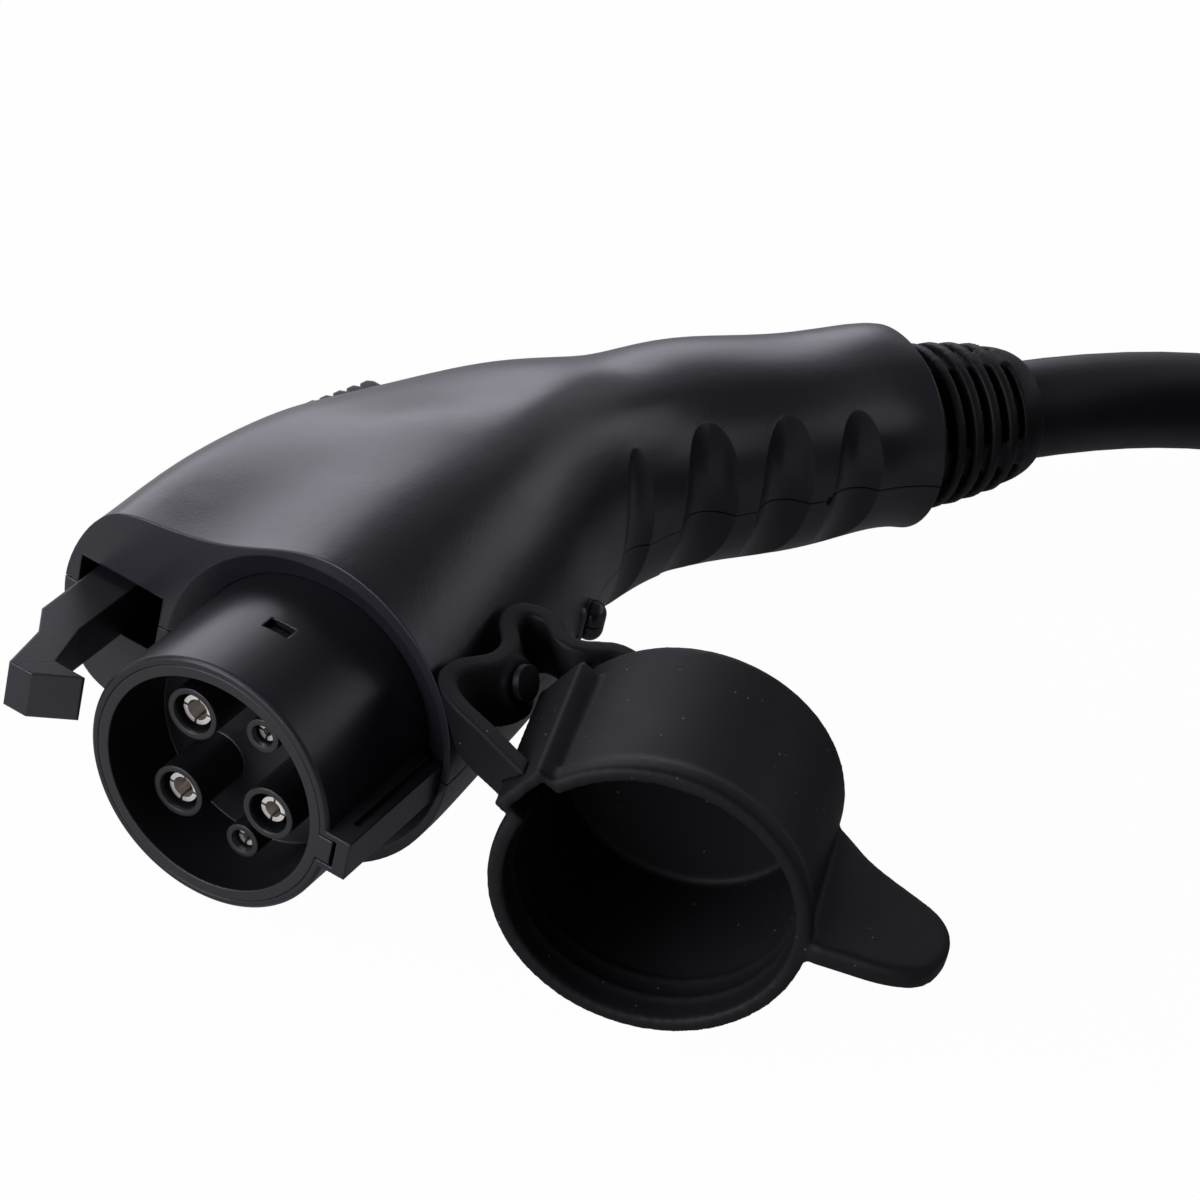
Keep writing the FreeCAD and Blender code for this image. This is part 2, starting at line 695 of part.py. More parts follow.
def latch():
    """One rocking lever: hook in front, pivot in the middle and thumb pad behind."""
    hook_back = size.hook_length - size.latch_tip
    last = size.thumb_start + size.thumb_length
    arm = plate("latch_arm", (
        (-size.latch_outer + 4.2, -size.latch_tip),
        (-size.latch_inner + 1.2, -size.latch_tip),
        (-size.hook_reach, hook_back),
        (-size.latch_inner + 2.0, hook_back),
        (-size.latch_inner, hook_back + 9.0),
        (-size.latch_inner, size.pivot_along - 6.0),
        (-size.latch_inner + 2.2, size.thumb_start - 10.0),
        (-size.latch_inner + 2.6, size.thumb_start),
        (-size.latch_inner + 5.0, last - 0.5),
        (-size.thumb_front + 7.2, last - 0.5),
        (-size.thumb_front + 3.6, size.thumb_start + 1.0),
        (-size.thumb_front + 5.6, size.thumb_start - 1.2),
        (-size.latch_outer + 2.6, size.pivot_along + 12.0),
        (-size.latch_outer + 0.8, size.pivot_along + 4.0),
        (-size.latch_outer, size.pivot_along - 10.0),
        (-size.latch_outer, 11.7),
        (-size.latch_outer + 3.0, 6.8)), size.latch_thick)
    boss = rod("latch_boss", "z", -size.pivot_across, size.pivot_along, -size.latch_thick / 2,
               size.pivot_boss, size.latch_thick)
    teeth = 6
    slope = size.thumb_length / teeth
    points = [(-size.thumb_front + 4.4, size.thumb_start)]
    for tooth in range(teeth):
        crest = -size.thumb_front + size.thumb_climb * tooth
        points.append((crest + size.thumb_ridge, size.thumb_start + slope * tooth))
        points.append((crest, size.thumb_start + slope * tooth + size.thumb_ridge))
        points.append((crest + 0.3, size.thumb_start + slope * (tooth + 1) - size.thumb_ridge))
    points.append((-size.thumb_front + size.thumb_climb * teeth + 0.4, last))
    points.append((-size.thumb_front + 8.2, last))
    pad = plate("thumb_pad", points, size.thumb_width)
    hole = rod("latch_hole", "z", -size.pivot_across, size.pivot_along, -size.latch_thick,
               size.pivot_radius + size.running_fit, size.latch_thick * 2)
    keep("latch_lever", cut("lever", fused("lever_blank", arm, boss, pad), hole))
    keep("latch_pivot_pin", rod("pivot_pin", "z", -size.pivot_across, size.pivot_along,
                                -size.pivot_length / 2, size.pivot_radius, size.pivot_length))


SPRING_SIDES = 12


def spring():
    """A compression spring between its seat in the housing and the back of the lever."""
    start = size.seat_across.value + size.rib_length.value / 2 + size.face_gap.value
    end = size.latch_inner.value - 2.2 - size.face_gap.value * 2
    wire = size.spring_wire.value / 2
    height = end - start - wire * 2
    radius = size.spring_radius.value - wire
    turns = int(size.spring_turns.value)
    places = [step / SPRING_SIDES for step in range(turns * SPRING_SIDES + 1)]
    points = [FreeCAD.Vector(radius * math.cos(2 * math.pi * place),
                             radius * math.sin(2 * math.pi * place),
                             height * place / turns) for place in places]
    corners = [FreeCAD.Vector(radius + wire * math.cos(math.pi * step / 3), 0,
                              wire * math.sin(math.pi * step / 3)) for step in range(7)]
    item = doc.addObject("Part::Feature", "spring_coil")
    item.Shape = Part.makePolygon(points).makePipeShell([Part.makePolygon(corners)], True, False, 1)
    turn = FreeCAD.Rotation(FreeCAD.Vector(0, 1, 0), -90)
    item.Placement = FreeCAD.Placement(vector(-start - wire, size.spring_along, 0), turn)
    keep("latch_spring", item)


def sensing():
    """The circuit board and the switch that the lever works."""
    back = size.board_across + size.board_thick / 2
    board_start = size.spring_along - size.board_ahead
    keep("proximity_board", block("board", -back, board_start + size.running_fit, -size.board_half,
                                  size.board_thick, size.board_length - size.running_fit * 2,
                                  size.board_half * 2))
    start = board_start + 0.6
    base = block("switch_case", -back - size.switch_height, start, -size.switch_width / 2,
                 size.switch_height, size.switch_length, size.switch_width)
    button = rod("switch_button", "x", -size.latch_inner + 2.9, start + 9.8, 0,
                 size.plunger_radius, 3.0)
    keep("proximity_switch", fused("switch", base, button))


def fasteners():
    heads = []
    for number, (spot, seat) in enumerate(screw_places(), 1):
        label = "screw_" + str(number)
        head = rod(label + "_head", "z", spot.x, spot.y, -seat - 2.0, size.screw_head, 2.0)
        shank = rod(label + "_shank", "z", spot.x, spot.y, -seat - 0.5, size.screw_radius,
                    seat + 0.5 + size.screw_reach)
        socket = rod(label + "_socket", "z", spot.x, spot.y, -seat - 3.0, 1.1, 2.2)
        heads.append(cut(label, fused(label + "_blank", head, shank), socket))
    keep("housing_screws", grouped("screws", *heads))


def cable_end():
    """The cable inside the handle, its crimped ring and the rubber boot behind it."""
    end = size.rear_place + size.boot_length
    jacket = rod("inner_jacket", "y", 0, size.cable_start, 0, size.cable_radius,
                 end - size.cable_start)
    keep("cable_inner_end", on_handle(grouped("inner_end", jacket)))
    hoop = turned("crimp_hoop", (
        (size.cable_radius + size.running_fit, size.ring_start),
        (size.cable_radius + size.ring_thick, size.ring_start),
        (size.cable_radius + size.ring_thick, size.ring_start + size.ring_length),
        (size.cable_radius + size.running_fit, size.ring_start + size.ring_length)))
    keep("cable_crimp_ring", on_handle(hoop))
    bore = size.cable_radius + size.running_fit
    wall_start = size.rear_place - size.rear_wall - size.running_fit * 2
    skirt = size.rear_place + size.running_fit * 4
    points = [(bore, size.boot_start), (size.boot_flange, size.boot_start),
              (size.boot_flange, wall_start), (size.boot_neck, wall_start),
              (size.boot_neck, skirt), (size.boot_front, skirt)]
    rings = int(size.boot_rings.value)
    fall = size.boot_front - size.boot_back
    for ring in range(rings):
        outer = size.boot_front - fall * (ring / rings) ** 2
        edge = skirt + size.boot_pitch * (ring + 1) - size.boot_slot
        points.append((outer, edge))
        points.append((size.boot_core, edge))
        points.append((size.boot_core, edge + size.boot_slot))
        points.append((size.boot_front - fall * ((ring + 1) / rings) ** 2, edge + size.boot_slot))
    points.append((size.boot_back - 0.5, end - 3.6))
    points.append((size.boot_back - 1.2, end - 1.7))
    points.append((size.boot_tip + 0.7, end - 0.4))
    points.append((size.boot_tip, end))
    points.append((bore, end))
    boot = turned("boot_turn", points)
    spines = []
    for number, angle in enumerate((85, 175, 265, 355), 1):
        bar = doc.addObject("Part::Box", "boot_bar_" + str(number))
        bind(bar, Length=size.boot_back - size.boot_core + 0.4, Width=size.boot_pitch * rings,
             Height=size.boot_spine)
        away = FreeCAD.Rotation(FreeCAD.Vector(0, 1, 0), angle)
        reach = away.multVec(vector(size.boot_core - 0.4, 0, -size.boot_spine / 2))
        bar.Placement = FreeCAD.Placement(reach + vector(0, skirt + 0.5, 0), away)
        spines.append(bar)
    keep("cable_boot", on_handle(fused("boot", boot, *spines)))


def arc_route(points, radius_share=0.45):
    """Straight runs joined by tangent arcs, with the radii that the runs allow."""
    edges = []
    radii = []
    here = points[0]
    for before, corner, after in zip(points, points[1:], points[2:]):
        back = before - corner
        ahead = after - corner
        turn = math.pi - back.getAngle(ahead)
        reach = radius_share * min(back.Length, ahead.Length)
        radii.append(reach / math.tan(turn / 2))
        start = corner + back.normalize() * reach
        end = corner + ahead.normalize() * reach
        inward = (back + ahead).normalize()
        sagitta = reach / math.tan(turn / 2) * (1 / math.cos(turn / 2) - 1)
        edges.append(Part.LineSegment(here, start).toShape())
        edges.append(Part.Arc(start, corner + inward * sagitta, end).toShape())
        here = end
    edges.append(Part.LineSegment(here, points[-1]).toShape())
    return Part.Wire(edges), radii


def pipe(name, points, radius):
    """A round cord along a route; prints its radii and compares its volume."""
    path, radii = arc_route(points)
    ahead = points[1] - points[0]
    circle = Part.makeCircle(radius, points[0], ahead)
    item = doc.addObject("Part::Feature", name)
    item.Shape = path.makePipeShell([Part.Wire(circle)], True, False)
    expected = math.pi * radius * radius * path.Length
    print(name, "length", round(path.Length, 1), "radii", [round(value) for value in radii],
          "volume ratio", round(item.Shape.Volume / expected, 4))
    return item


# Where each core sits in the cable, as shares of the cable's radius.
CORE_PLACES = {"line": (-0.5, 0.5), "neutral": (-0.5, -0.5), "ground": (0.56, 0.0),
               "pilot": (0.06, 0.66), "proximity": (0.06, -0.66)}


def radius_share(share):
    return size.cable_radius * share


def conductors():
    """Each core runs from its crimp through the body to the end of the cable."""
    frame = handle_frame()
    for name, x, z, pin, collar, recess, core in contact_places():
        label = name.replace("_contact", "")
        across, aside = [radius_share(share).value for share in CORE_PLACES[label]]
        start = vector(x, size.crimp_end, z)
        bend = vector(x, size.crimp_end + size.core_straight, z)
        arrive = frame.multVec(FreeCAD.Vector(across, (size.cable_start - size.core_straight).value, aside))
        finish = frame.multVec(FreeCAD.Vector(across, size.cable_start.value, aside))
        keep(label + "_conductor", pipe(label + "_core", [start, bend, arrive, finish], core.value))


def floor_level():
    """The connector lies on the fullest part of its lower half."""
    sides = [float(sheet.get(name + "_side")) for name in SECTIONS]
    return -(max(sides) + size.seam_gap.value / 2)


def cable():
    """The cord from the boot down to the floor and on into its coil beside the object."""
    radius = size.cable_radius
    frame = handle_frame()
    level = floor_level() + radius.value
    along = size.rear_place + size.boot_length
    route = [FreeCAD.Vector(0, along.value, 0)]
    for run, height in ((size.cable_leave, 0.0), (size.cable_fall, level), (size.cable_lie, level)):
        along = along + run
        route.append(FreeCAD.Vector(0, along.value, height))
    keep("cable", pipe("cable_tube", [frame.multVec(point) for point in route], radius.value))
    turn = size.coil_inner + radius * (2 * size.coil_turns - 1)
    outside = turn + radius
    height = radius * 2 * size.coil_layers
    floor = floor_level()
    top = floor + height - radius * 2
    ring = cut("coil_ring", rod("coil_outside", "z", turn, along, floor, outside, height),
               rod("coil_inside", "z", turn, along, floor - 1, size.coil_inner, height + 2))
    rooms = (block("entry_room", -radius - 3, along - outside / 1.4, floor - 1, radius * 2 + 4,
                   outside / 1.4, radius * 3),
             block("lead_room", -radius - 3, along, top, radius * 2 + 4, size.lead_length + 6,
                   radius * 2 + 1))
    keep("cable_coil", on_handle(cut("coil", ring, *rooms)))
    leads(along, top + radius)


def leads(along, height):
    """The stripped cores at the cable's far end, each in its ferrule."""
    for name, x, z, pin, collar, recess, core in contact_places():
        label = name.replace("_contact", "")
        across, aside = CORE_PLACES[label]
        bare = size.lead_length - size.ferrule_length
        jacket = rod(label + "_lead_core", "y", radius_share(across), along, height + radius_share(aside),
                     core, bare)
        sleeve = rod(label + "_ferrule", "y", radius_share(across), along + bare - 1,
                     height + radius_share(aside), core * 0.6, size.ferrule_length + 1)
        keep(label + "_lead", on_handle(fused(label + "_lead_end", jacket, sleeve)))


def cap_placement():
    """The cap folded back: its mouth faces forward and its key channel is tilted up."""
    spot = vector(size.cap_across, size.cap_along, size.cap_up)
    swing = FreeCAD.Rotation(FreeCAD.Vector(0, 0, 1), size.cap_turn.value)
    tilt = FreeCAD.Rotation(FreeCAD.Vector(0, 1, 0), size.cap_tilt.value)
    return FreeCAD.Placement(spot, swing.multiply(tilt))


def cap():
    """A rubber cup with sealing ridges, a channel for the key and a pull tongue."""
    outer = size.cap_bore + size.cap_wall
    rim = outer + size.cap_bead
    cup = turned("cap_cup", (
        (size.cap_bore + 0.5, 0), (rim - 0.4, 0), (rim, 0.5), (rim, 3.0), (outer, 4.4),
        (outer - 0.4, size.cap_depth - 1.6), (outer - 2.0, size.cap_depth),
        (0, size.cap_depth), (0, size.cap_depth - size.cap_floor),
        (size.cap_bore - 1.2, size.cap_depth - size.cap_floor),
        (size.cap_bore - 0.2, 9.5), (size.cap_bore - 0.2 - size.cap_ridge, 8.8),
        (size.cap_bore - 0.2, 8.1), (size.cap_bore - 0.1, 5.4),
        (size.cap_bore - 0.1 - size.cap_ridge, 4.7), (size.cap_bore, 4.0)))
    height = size.channel_height
    ridge = block("channel_ridge", -outer - height + 1.0, 0,
                  -size.channel_width / 2 - 1.4, height, size.cap_depth - 6.0,
                  size.channel_width + 2.8)
    channel = block("channel_hollow", -size.cap_bore - height + 0.8, -1,
                    -size.channel_width / 2, height + 3, size.cap_depth - size.cap_floor - 4,
                    size.channel_width)
    tilt_back = FreeCAD.Rotation(FreeCAD.Vector(0, 1, 0), -size.cap_tilt.value)
    half = size.tongue_root / 2
    tongue = plate("tongue", (
        (outer - 1.2, -0.3 + 0.8), (outer + 11.0, 0.8), (outer + size.tongue_reach - 3.4, 1.4),
        (outer + size.tongue_reach, 5.2), (outer + size.tongue_reach, size.tongue_tip),
        (outer + size.tongue_reach - 2.0, size.tongue_tip + 3.0),
        (outer + 8.4, half + 9.4), (outer - 1.2, size.tongue_root)), size.tongue_thick)
    tongue.Placement = FreeCAD.Placement(FreeCAD.Vector(0, 0, 0), tilt_back)
    blank = fused("cap_blank", cup, ridge, tongue)
    capped = cut("cap", blank, channel)
    capped.Placement = cap_placement()
    keep("protective_cap", capped)


# The strap is one rubber band that leaves the cap at its mouth, bends round in front of
# the anchor, comes in to it, bends back and joins the cap again near its closed end.
# These are the points of its upper edge.
STRAP_ROUTE = ((46.5, 15.4), (42.0, 16.8), (33.0, 20.2), (26.0, 23.0), (23.0, 26.6), (23.8, 31.0),
               (26.0, 34.4), (26.6, 37.4), (25.6, 40.6), (22.6, 44.8), (22.9, 48.8), (27.4, 49.8),
               (31.8, 47.0), (35.0, 47.8), (38.5, 50.6), (43.5, 50.2))


def strap():
    half = size.strap_thick.value / 2
    lean = size.strap_lean.value
    middle = Part.BSplineCurve()
    middle.interpolate([FreeCAD.Vector(x + lean, y, size.strap_bottom.value) for x, y in STRAP_ROUTE])
    first, last = middle.FirstParameter, middle.LastParameter
    sides = ([], [])
    steps = len(STRAP_ROUTE) * 2
    for step in range(steps + 1):
        where = first + (last - first) * step / steps
        along = middle.tangent(where)[0]
        aside = FreeCAD.Vector(-along.y, along.x, 0) * half
        sides[0].append(middle.value(where) + aside)
        sides[1].append(middle.value(where) - aside)
    curves = []
    for side in sides:
        curve = Part.BSplineCurve()
        curve.interpolate(side)
        curves.append(curve.toShape())
    ends = [Part.LineSegment(sides[0][end], sides[1][end]).toShape() for end in (0, -1)]
    face = Part.Face(Part.Wire(Part.__sortEdges__([curves[0], ends[1], curves[1], ends[0]])))
    item = doc.addObject("Part::Feature", "strap_band")
    item.Shape = face.extrude(FreeCAD.Vector(-lean, 0, size.strap_width.value))
    half_eye = size.eye_thick / 2
    eye = leaned(grouped("eye", rod("eye_rod", "x", -half_eye, 0, 0, size.eye_radius, size.eye_thick)))
    hole = leaned(grouped("eye_hole", rod("eye_bore", "x", -OUT / 4, 0, 0,
                                          size.anchor_radius + size.running_fit, OUT / 2)))
    room = leaned(grouped("button_room", rod("button_bore", "x", half_eye, 0, 0, size.eye_radius, 4.0),
                          rod("shoulder_bore", "x", -half_eye - 4.0, 0, 0, size.eye_radius, 4.0)))
    core = grouped("cap_room", rod("cap_core", "y", 0, -OUT, 0, size.cap_bore + size.cap_wall,
                                   size.cap_depth + OUT))
    core.Placement = cap_placement()
    band = cut("strap_ends", item, core, room, kept["protective_cap"])
    trimmed = cut("strap_trimmed", fused("strap_blank", band, eye), hole)
    doc.recompute()
    whole = doc.addObject("Part::Feature", "strap")
    whole.Shape = max(trimmed.Shape.Solids, key=lambda solid: solid.Volume)
    keep("cap_strap", whole)
    inside = half_eye + size.face_gap
    reach = size.anchor_across + size.strap_lean / 2 + 3.7 - size.barrel_radius - size.shoulder_gap
    keep("strap_anchor", leaned(fused(
        "anchor",
        rod("anchor_shoulder", "x", -reach, 0, 0, size.shoulder_radius, reach - inside),
        rod("anchor_post", "x", -reach, 0, 0, size.anchor_radius,
            reach + inside + size.button_thick / 2),
        rod("anchor_button", "x", inside, 0, 0, size.button_radius, size.button_thick))))


housing()
barrel()
carrier()
contacts()
latch()
spring()
sensing()
fasteners()
cable_end()
conductors()
cable()
cap()
strap()
doc.recompute()

for item in doc.Objects:
    if "Invalid" in item.State or "Error" in item.State:
        raise RuntimeError("failed: " + item.Name + " " + str(item.State))
for node, item in kept.items():
    shape = item.Shape
    if shape.isNull() or not shape.isValid():
        raise RuntimeError("no valid solid: " + node)
    print(node, len(shape.Solids), round(shape.Volume / 1000, 3), "cm3")
    shape.exportStep("parts/" + node + ".step")
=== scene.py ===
import math

import bmesh
import bpy
from mathutils import Euler, Matrix, Vector


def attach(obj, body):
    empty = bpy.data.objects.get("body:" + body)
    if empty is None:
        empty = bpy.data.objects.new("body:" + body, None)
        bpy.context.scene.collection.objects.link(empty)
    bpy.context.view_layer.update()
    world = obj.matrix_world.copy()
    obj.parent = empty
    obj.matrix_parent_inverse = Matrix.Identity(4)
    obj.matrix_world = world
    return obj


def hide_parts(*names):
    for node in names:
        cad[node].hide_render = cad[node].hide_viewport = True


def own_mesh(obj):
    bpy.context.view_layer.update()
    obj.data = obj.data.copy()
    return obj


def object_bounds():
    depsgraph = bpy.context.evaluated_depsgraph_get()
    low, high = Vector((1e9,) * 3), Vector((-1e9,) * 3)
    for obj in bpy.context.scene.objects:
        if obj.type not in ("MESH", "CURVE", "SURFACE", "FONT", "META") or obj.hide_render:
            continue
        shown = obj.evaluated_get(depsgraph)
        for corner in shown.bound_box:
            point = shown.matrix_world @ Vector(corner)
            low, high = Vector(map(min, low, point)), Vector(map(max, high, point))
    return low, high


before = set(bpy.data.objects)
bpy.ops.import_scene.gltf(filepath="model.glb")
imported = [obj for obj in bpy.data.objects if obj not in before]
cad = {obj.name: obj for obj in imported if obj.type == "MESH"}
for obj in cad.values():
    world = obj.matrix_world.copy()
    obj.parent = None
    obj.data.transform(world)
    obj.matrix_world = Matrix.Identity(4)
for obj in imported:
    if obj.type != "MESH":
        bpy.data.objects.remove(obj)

# The CAD's box is kept: the table is laid at its lowest point.
cad_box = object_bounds()

# Table
# A seamless white photographer's table: a painted board, 8 m wide. The camera sees it as white with a
# faint shadow. For shiny surfaces it glows as a painted reflection, brighter on the latch's side.


def linear(colour):
    """An sRGB hex colour as linear red, green, blue and alpha."""
    parts = [int(colour[place:place + 2], 16) / 255 for place in (1, 3, 5)]
    return [part / 12.92 if part < 0.04045 else ((part + 0.055) / 1.055) ** 2.4
            for part in parts] + [1]


def add(tree, kind, links, **settings):
    """Adds a shader node, sets it up and gives its sockets their values or links."""
    node = tree.nodes.new("ShaderNode" + kind)
    for name, value in settings.items():
        setattr(node, name, value)
    for name, source in links.items():
        if isinstance(source, bpy.types.NodeSocket):
            tree.links.new(source, node.inputs[name])
        else:
            node.inputs[name].default_value = source
    return node


def new_material(name):
    """An empty node material and its tree."""
    material = bpy.data.materials.new(name)
    material.use_nodes = True
    material.node_tree.nodes.clear()
    return material, material.node_tree


table_width = 8
floor_height = cad_box[0][2]
bpy.ops.mesh.primitive_plane_add(size=table_width, location=(0, 0, floor_height))
table = bpy.context.object
table.name = "table"

# Matt white emulsion, rolled on: even, with no shine. It glows for the camera, so that it reads as
# white. For the shiny surfaces that mirror it, it also glows as a painted reflection, most on the
# latch's side.
paint_seen = "#fafafa"
paint_lighting = "#b4b4b8"
camera_glow = 0.98
# Painted reflection: the glow that shiny surfaces see rises from the low to the high level across the
# table towards the latch's side.
painted_reflection_way = (-0.8, -0.5, 0)
dark_end, bright_end = -0.04, 0.02
painted_reflection_low, painted_reflection_high = 0.07, 0.42
white_paint_and_painted_reflection, tree = new_material("white_paint_and_painted_reflection")
path = add(tree, "LightPath", {})
shade = add(tree, "Mix", {0: path.outputs["Is Camera Ray"], 6: linear(paint_lighting),
                          7: linear(paint_seen)}, data_type="RGBA")
paint = add(tree, "BsdfDiffuse", {"Color": shade.outputs[2], "Roughness": 0.3})
glow = add(tree, "Emission", {"Color": (1, 1, 1, 1), "Strength": 1.0})
seen = add(tree, "Math", {0: path.outputs["Is Camera Ray"], 1: camera_glow},
           operation="MULTIPLY")
# Painted reflection: for glossy rays only, the table glows more towards the latch's side.
place = add(tree, "TexCoord", {})
side = add(tree, "VectorMath", {0: place.outputs["Object"], 1: painted_reflection_way},
           operation="DOT_PRODUCT")
painted_reflection_strength = add(tree, "MapRange", {"Value": side.outputs["Value"], "From Min": dark_end,
                                "From Max": bright_end, "To Min": painted_reflection_low,
                                "To Max": painted_reflection_high}, interpolation_type="SMOOTHSTEP")
painted_reflection_share = add(tree, "Math", {0: path.outputs["Is Glossy Ray"], 1: painted_reflection_strength.outputs[0]},
               operation="MULTIPLY")
share = add(tree, "Math", {0: seen.outputs[0], 1: painted_reflection_share.outputs[0]}, operation="MAXIMUM")
mix = add(tree, "MixShader", {0: share.outputs[0], 1: paint.outputs[0], 2: glow.outputs[0]})
add(tree, "OutputMaterial", {"Surface": mix.outputs[0]})
table.data.materials.append(white_paint_and_painted_reflection)

# Studio light
# A large soft box behind the latch's side gives the sheen along the housing, and two in
# front light the barrel, the hook and the contacts. Four dim ones lift the far edges.

world = bpy.data.worlds.new("studio")
bpy.context.scene.world = world
world.use_nodes = True
tree = world.node_tree
tree.nodes.clear()
room_colour = (0.88, 0.88, 1, 1)
room_strength = 0.12
path = add(tree, "LightPath", {})
dim = add(tree, "Background", {"Color": room_colour, "Strength": room_strength})
white = add(tree, "Background", {"Color": (1, 1, 1, 1), "Strength": 1.0})
direct = add(tree, "Math", {0: path.outputs["Is Camera Ray"], 1: path.outputs["Is Transmission Ray"]},
             operation="MAXIMUM")
mix = add(tree, "MixShader", {0: direct.outputs[0], 1: dim.outputs[0], 2: white.outputs[0]})
add(tree, "OutputWorld", {"Surface": mix.outputs[0]})

# Each box has its name, its place, its width and height in metres, and its power in watts.
lamp_colour = (0.91, 0.89, 1)
lit_point = Vector((0.03, 0.09, 0))
soft_boxes = (("latch_side_soft_box", (-1.5, 1.3, 0.5), 2.2, 1.3, 21),
              ("back_soft_box", (-0.7, 1.6, 1.2), 1.4, 0.9, 1.2),
              ("cable_side_soft_box", (0.9, 1.6, 0.8), 1.0, 0.8, 2.4),
              ("finger_side_soft_box", (1.5, 0.7, 0.8), 1.0, 0.8, 2),
              ("low_back_strip", (0.1, 2.0, 0.5), 1.4, 0.6, 1),
              ("front_soft_box", (-0.9, -1.3, 0.7), 1.2, 1.0, 24),
              ("front_strip", (-0.2, -1.8, 0.25), 1.4, 0.5, 13))
for name, place, width, height, power in soft_boxes:
    lamp = bpy.data.lights.new(name, "AREA")
    lamp.shape = "RECTANGLE"
    lamp.size = width
    lamp.size_y = height
    lamp.energy = power
    lamp.color = lamp_colour
    box = bpy.data.objects.new(name, lamp)
    bpy.context.collection.objects.link(box)
    box.location = place
    box.rotation_euler = (lit_point - Vector(place)).to_track_quat("-Z", "Y").to_euler()

bpy.context.scene.view_settings.view_transform = "Standard"

# Camera
# A long lens, from the mouth's side and above, turned a little on its axis as in the
# photograph.

azimuth, elevation, roll = (math.radians(angle) for angle in (22.569, 36.95, 13.96))
camera_place = (0.24848, -0.46412, 0.44636)
lens = bpy.data.cameras.new("camera")
lens.lens = 135
lens.sensor_width = 36
lens.clip_start = 0.01
camera = bpy.data.objects.new("camera", lens)
bpy.context.collection.objects.link(camera)
aim = Euler((math.pi / 2 - elevation, 0, azimuth)).to_matrix() @ Matrix.Rotation(roll, 3, "Z")
camera.matrix_world = Matrix.Translation(camera_place) @ aim.to_4x4()
bpy.context.scene.camera = camera

# Charging cable
# A round five-core cable with an extruded jacket of matt rubber. It leaves the strain
# relief, sinks to the table and is wound two turns wide and four high. Its end is bare.

cable_width = 0.0178
cable_route = [(0.04732, 0.18663, 0.0), (0.06508, 0.21562, 0.0), (0.09748, 0.26848, -0.02125),
               (0.11629, 0.29918, -0.02125)]
handle_angle = math.radians(31.5)
along_handle = Vector((math.sin(handle_angle), math.cos(handle_angle), 0))
to_fingers = Vector((math.cos(handle_angle), -math.sin(handle_angle), 0))
outer_turn = 0.1021
coil_start = Vector(cable_route[-1])
coil_middle = coil_start + to_fingers * outer_turn

# Each part of the winding sweeps 315 degrees in its own column and row. In its last
# 45 degrees it goes over to the next part's place.
columns = (1, 0, 0, 1, 1, 0, 0, 1)
rows = (0, 0, 1, 1, 2, 2, 3, 3)
part_sweep = 315
crossing = 45
step_angle = 15
# The smooth curve cuts the corners between its points, so the points lie outside it.
corner_cut = 8 / (6 + 2 * math.cos(math.radians(step_angle)))
for swept in range(step_angle, part_sweep * len(rows) + 1, step_angle):
    part = min(swept // part_sweep, len(rows) - 1)
    following = min(part + 1, len(rows) - 1)
    past_start = swept - part * part_sweep
    change = max(0, (past_start - (part_sweep - crossing)) / crossing) if following > part else 0
    change = change * change * (3 - 2 * change)
    column = columns[part] + (columns[following] - columns[part]) * change
    row = rows[part] + (rows[following] - rows[part]) * change
    radius = (outer_turn - (1 - column) * cable_width) * corner_cut
    angle = math.radians(swept)
    point = coil_middle - to_fingers * radius * math.cos(angle) + along_handle * radius * math.sin(angle)
    cable_route.append((point.x, point.y, coil_start.z + row * cable_width))

curve = bpy.data.curves.new("charging_cable", "CURVE")
curve.dimensions = "3D"
spline = curve.splines.new("NURBS")
spline.points.add(len(cable_route) - 1)
for point, place in zip(spline.points, cable_route):
    point.co = (*place, 1)
spline.order_u = 3
spline.use_endpoint_u = True
spline.resolution_u = 8
curve.bevel_depth = cable_width / 2
curve.bevel_resolution = 10
curve.use_fill_caps = True
charging_cable = bpy.data.objects.new("charging_cable", curve)
bpy.context.collection.objects.link(charging_cable)


def moulded(name, colours, roughness, uneven, grain, height, refraction, blotch=0.02):
    """A surface from a mould or a die, with a fine grain of that size and height in metres.

    Its gloss and its colour change a little from place to place, over about a blotch.
    The real grain is about 0.1 mm and is drawn coarser here, so that it shows.
    """
    material, tree = new_material(name)
    place = add(tree, "TexCoord", {})
    spots = add(tree, "TexNoise", {"Vector": place.outputs["Object"], "Scale": 1 / blotch,
                                   "Detail": 4.0})
    gloss = add(tree, "MapRange", {"Value": spots.outputs["Fac"], "From Min": 0.3, "From Max": 0.7,
                                   "To Min": roughness - uneven, "To Max": roughness + uneven})
    shade = add(tree, "Mix", {0: spots.outputs["Fac"], 6: linear(colours[0]),
                              7: linear(colours[1])}, data_type="RGBA")
    grit = add(tree, "TexNoise", {"Vector": place.outputs["Object"], "Scale": 1 / grain,
                                  "Detail": 2.0})
    edge = add(tree, "Bevel", {"Radius": 0.0005}, samples=6)
    relief = add(tree, "Bump", {"Height": grit.outputs["Fac"], "Distance": height,
                                "Strength": 1.0, "Normal": edge.outputs[0]})
    plastic = add(tree, "BsdfPrincipled", {"Base Color": shade.outputs[2], "IOR": refraction,
                                           "Roughness": gloss.outputs[0],
                                           "Normal": relief.outputs[0]})
    add(tree, "OutputMaterial", {"Surface": plastic.outputs[0]})
    return material


def dress(node, material):
    """Gives a CAD node its material."""
    piece = cad[node]
    if not piece.material_slots:
        piece.data.materials.append(material)
    for slot in piece.material_slots:
        slot.link = "OBJECT"
        slot.material = material


